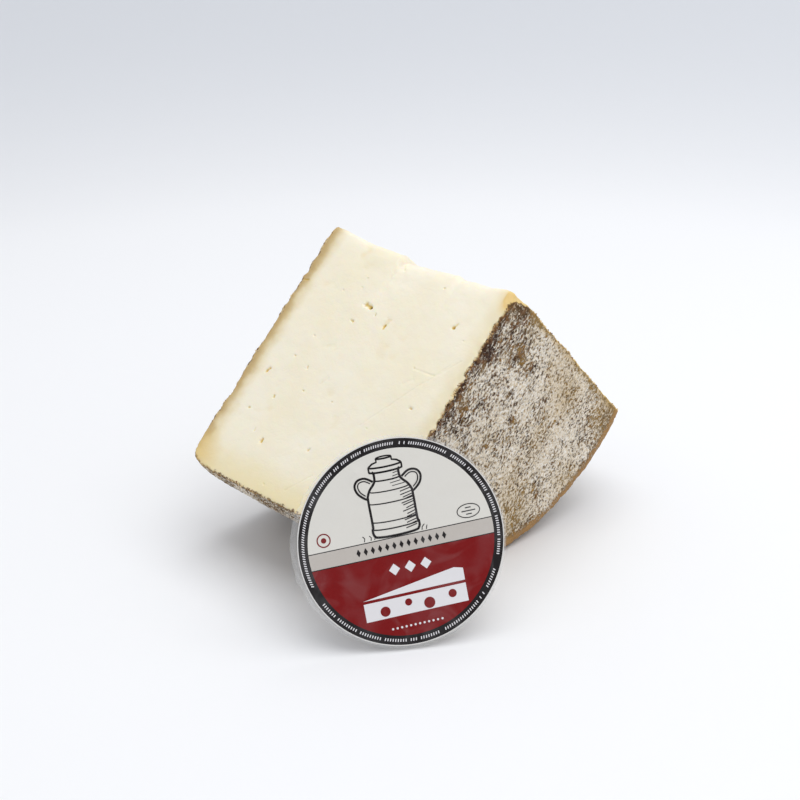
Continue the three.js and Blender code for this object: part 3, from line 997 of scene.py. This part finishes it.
thinned = add_node(dash_tree, "GeometryNodeDeleteGeometry", {
    "Geometry": bent, "Selection": left_out})
plate = add_node(dash_tree, "GeometryNodeMeshCube", {
    "Size": add_node(dash_tree, "ShaderNodeCombineXYZ", {
        0: given["Dash length"], 1: given["Dash width"], 2: 2 * INK})})
turned_to = add_node(dash_tree, "ShaderNodeCombineXYZ", {2: angle})
stood = add_node(dash_tree, "GeometryNodeInstanceOnPoints", {
    "Points": thinned, "Instance": plate, "Rotation": turned_to})
real = add_node(dash_tree, "GeometryNodeRealizeInstances", {"Geometry": stood})
end_group(dash_tree, real, given["Material"])
for name, start, end, pitch in (("ring_dashes_upper", -12, 203, 0.80),
                                ("ring_dashes_lower", 214, 340, 0.88)):
    dashes = link_object(name, bpy.data.meshes.new(name))
    sweep_angle = math.radians(end - start)
    dash_mesh = bake(dashes, dash_tree, **{
        "Ring radius": RING_MIDDLE, "Start angle": math.radians(start), "Sweep angle": sweep_angle,
        "Dash length": 0.95, "Dash width": 0.34, "Share left out": 0.15, "Seed": 3,
        "Dashes": round(RING_MIDDLE * sweep_angle / pitch),
        "Material": label_inks[WHITE]})
    for corner in dash_mesh.vertices:
        corner.co = on_label(*corner.co)
    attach(dashes, "root")
    print(name, len(dash_mesh.polygons), "faces")

# %% [markdown]
# ## The clear film
# The label sits in a thin clear film that stands out a little round it and is crinkled where it
# was torn off the pack. A film is one thin sheet, so it is a round net with an uneven edge,
# ruffled beyond the paper, and Solidify gives it its thickness.

# %% Film material
film_clear, tree, coords = new_material("clear_polypropylene_film")
crinkles = add_node(tree, "ShaderNodeTexNoise", {
    "Vector": coords, "Scale": 1000 / 4.0, "Detail": 3.0, "Distortion": 1.0})
crinkles = add_node(tree, "ShaderNodeBump", {
    "Height": crinkles, "Strength": 0.8, "Distance": 1.2 * MM})
end_material(tree, {
    "Base Color": linear("#F4F6F8"), "Roughness": 0.12, "IOR": 1.49, "Alpha": 0.11,
    "Normal": crinkles})
print("film material has", len(tree.nodes), "nodes")

# %% Film
film_form = bmesh.new()
FILM_STEPS = 240
film_rings = (12.0, 24.0, 31.0, 34.0, 35.0)  # mm, the last one lies over the paper's edge
film_level = (film_front - paper_front) / MM - FILM_WALL
rows = []
for i in range(FILM_STEPS):
    turn = 2 * math.pi * i / FILM_STEPS
    leftness = max(0.0, math.cos(turn - math.radians(186))) ** 6
    margin = 0.85 + 0.3 * noise.noise((3 * math.cos(turn), 3 * math.sin(turn), 0.5))
    margin += leftness * (1.5 + 1.0 * noise.noise((9 * math.cos(turn), 9 * math.sin(turn), 2)))
    row = []
    for radius in film_rings + tuple(film_rings[-1] + margin * m for m in (0.25, 0.5, 0.75, 1)):
        x, y = radius * math.cos(turn), radius * math.sin(turn)
        beyond = max(0.0, radius - 34.6)
        ruffle = 0.5 + 0.5 * noise.noise((x / 1.6, y / 1.6, 8.0))
        ruffle += 0.5 * noise.noise((x / 0.7, y / 0.7, 4.0))
        lift_out = min(beyond, 2.0) * (0.22 + 1.1 * leftness) * max(ruffle, 0.0)
        place = on_label(x, y, film_level + lift_out)
        place[2] = max(place[2], 0.15 * MM)
        row.append(film_form.verts.new(place))
    rows.append(row)
hub = film_form.verts.new(on_label(0, 0, film_level))
join_rings(film_form, hub, list(zip(*rows)))
film_mesh = as_mesh(film_form, "label_film_clear")
film_mesh.shade_smooth()
film_mesh.materials.append(film_clear)
clear_sheet = link_object("label_film_clear", film_mesh)
wall = clear_sheet.modifiers.new("film_wall", "SOLIDIFY")
wall.thickness = FILM_WALL * MM
wall.offset = 1.0
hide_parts("label_film")
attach(clear_sheet, "root")
print("film margin made of", FILM_STEPS, "steps")

# %% [markdown]
# ## Camera, sweep and light
# The stage is a shallow bowl of white paper, so the floor turns up into a soft wall on every
# side. The wall is painted greyer away from the middle, as painted shade. Light comes from one
# broad box overhead and from the room. The camera stands at the height and turn from which the
# label is read and both the cut and the top face are seen.

# %% Camera
camera_place = Vector((0.32424, -0.34054, 0.26450))
camera_aim = Vector((-0.6448, 0.6496, -0.4029)).normalized()
camera_top = Vector((-0.2838, 0.2859, 0.9153))
camera_right = camera_aim.cross(camera_top).normalized()
turned = Matrix((camera_right, camera_right.cross(camera_aim), -camera_aim)).transposed()
lens = bpy.data.cameras.new("studio_camera")
lens.lens = 62.67
lens.sensor_width = 36
camera = link_object("studio_camera", lens)
camera.matrix_world = Matrix.Translation(camera_place) @ turned.to_4x4()
bpy.context.scene.camera = camera
print("camera stands", round(camera_place.length, 2), "m from the origin")

# %% Paper sweep
FLOOR_RADIUS, BEND, BEND_ANGLE = 0.52, 0.50, 66
profile = [(0.0, 0.0), (FLOOR_RADIUS, 0.0)]
for step in range(1, 13):
    angle = math.radians(BEND_ANGLE * step / 12)
    profile.append((FLOOR_RADIUS + BEND * math.sin(angle), BEND * (1 - math.cos(angle))))
bowl = bmesh.new()
line = [bowl.verts.new((x, 0, z)) for x, z in profile]
edges = [bowl.edges.new(pair) for pair in zip(line, line[1:])]
bmesh.ops.spin(bowl, geom=line + edges, axis=(0, 0, 1), cent=(0, 0, 0), angle=2 * math.pi,
               steps=96, use_merge=True)
bmesh.ops.remove_doubles(bowl, verts=bowl.verts, dist=1e-6)
bmesh.ops.recalc_face_normals(bowl, faces=bowl.faces)
sweep_mesh = as_mesh(bowl, "paper_sweep")
sweep_mesh.shade_smooth()
sweep = link_object("paper_sweep", sweep_mesh)
backdrop, tree, coords = new_material("matt_white_paper")
level = add_node(tree, "ShaderNodeVectorMath", {0: coords, 1: (1, 1, 0)}, operation="MULTIPLY")
reach = add_node(tree, "ShaderNodeVectorMath", {0: level}, operation="LENGTH")
# painted shade: the paper greys from the floor's edge up the wall, where less light falls
paper_tone_with_painted_shade = tinted(tree, linear("#F0F1F3"), linear("#D4D7DC"), reach.outputs["Value"],
                    0.42, 0.85, blend="SMOOTHSTEP")
end_material(tree, {"Base Color": paper_tone_with_painted_shade, "Roughness": 0.9})
sweep_mesh.materials.append(backdrop)
print("sweep is", round(sweep.dimensions.x, 2), "m across")

# %% Light
box_light = bpy.data.lights.new("overhead_softbox", "AREA")
box_light.shape = "SQUARE"
box_light.size = 1.3
box_light.energy = 10.5
link_object("overhead_softbox", box_light).location = (0.22, 0.21, 1.20)
room = bpy.data.worlds.new("white_room")
room.use_nodes = True
background = room.node_tree.nodes["Background"].inputs
background["Color"].default_value = linear("#F6F7FA")
background["Strength"].default_value = 0.67
bpy.context.scene.world = room
bpy.context.scene.view_settings.view_transform = "Standard"
print("softbox gives", box_light.energy, "W from", box_light.size, "m square")
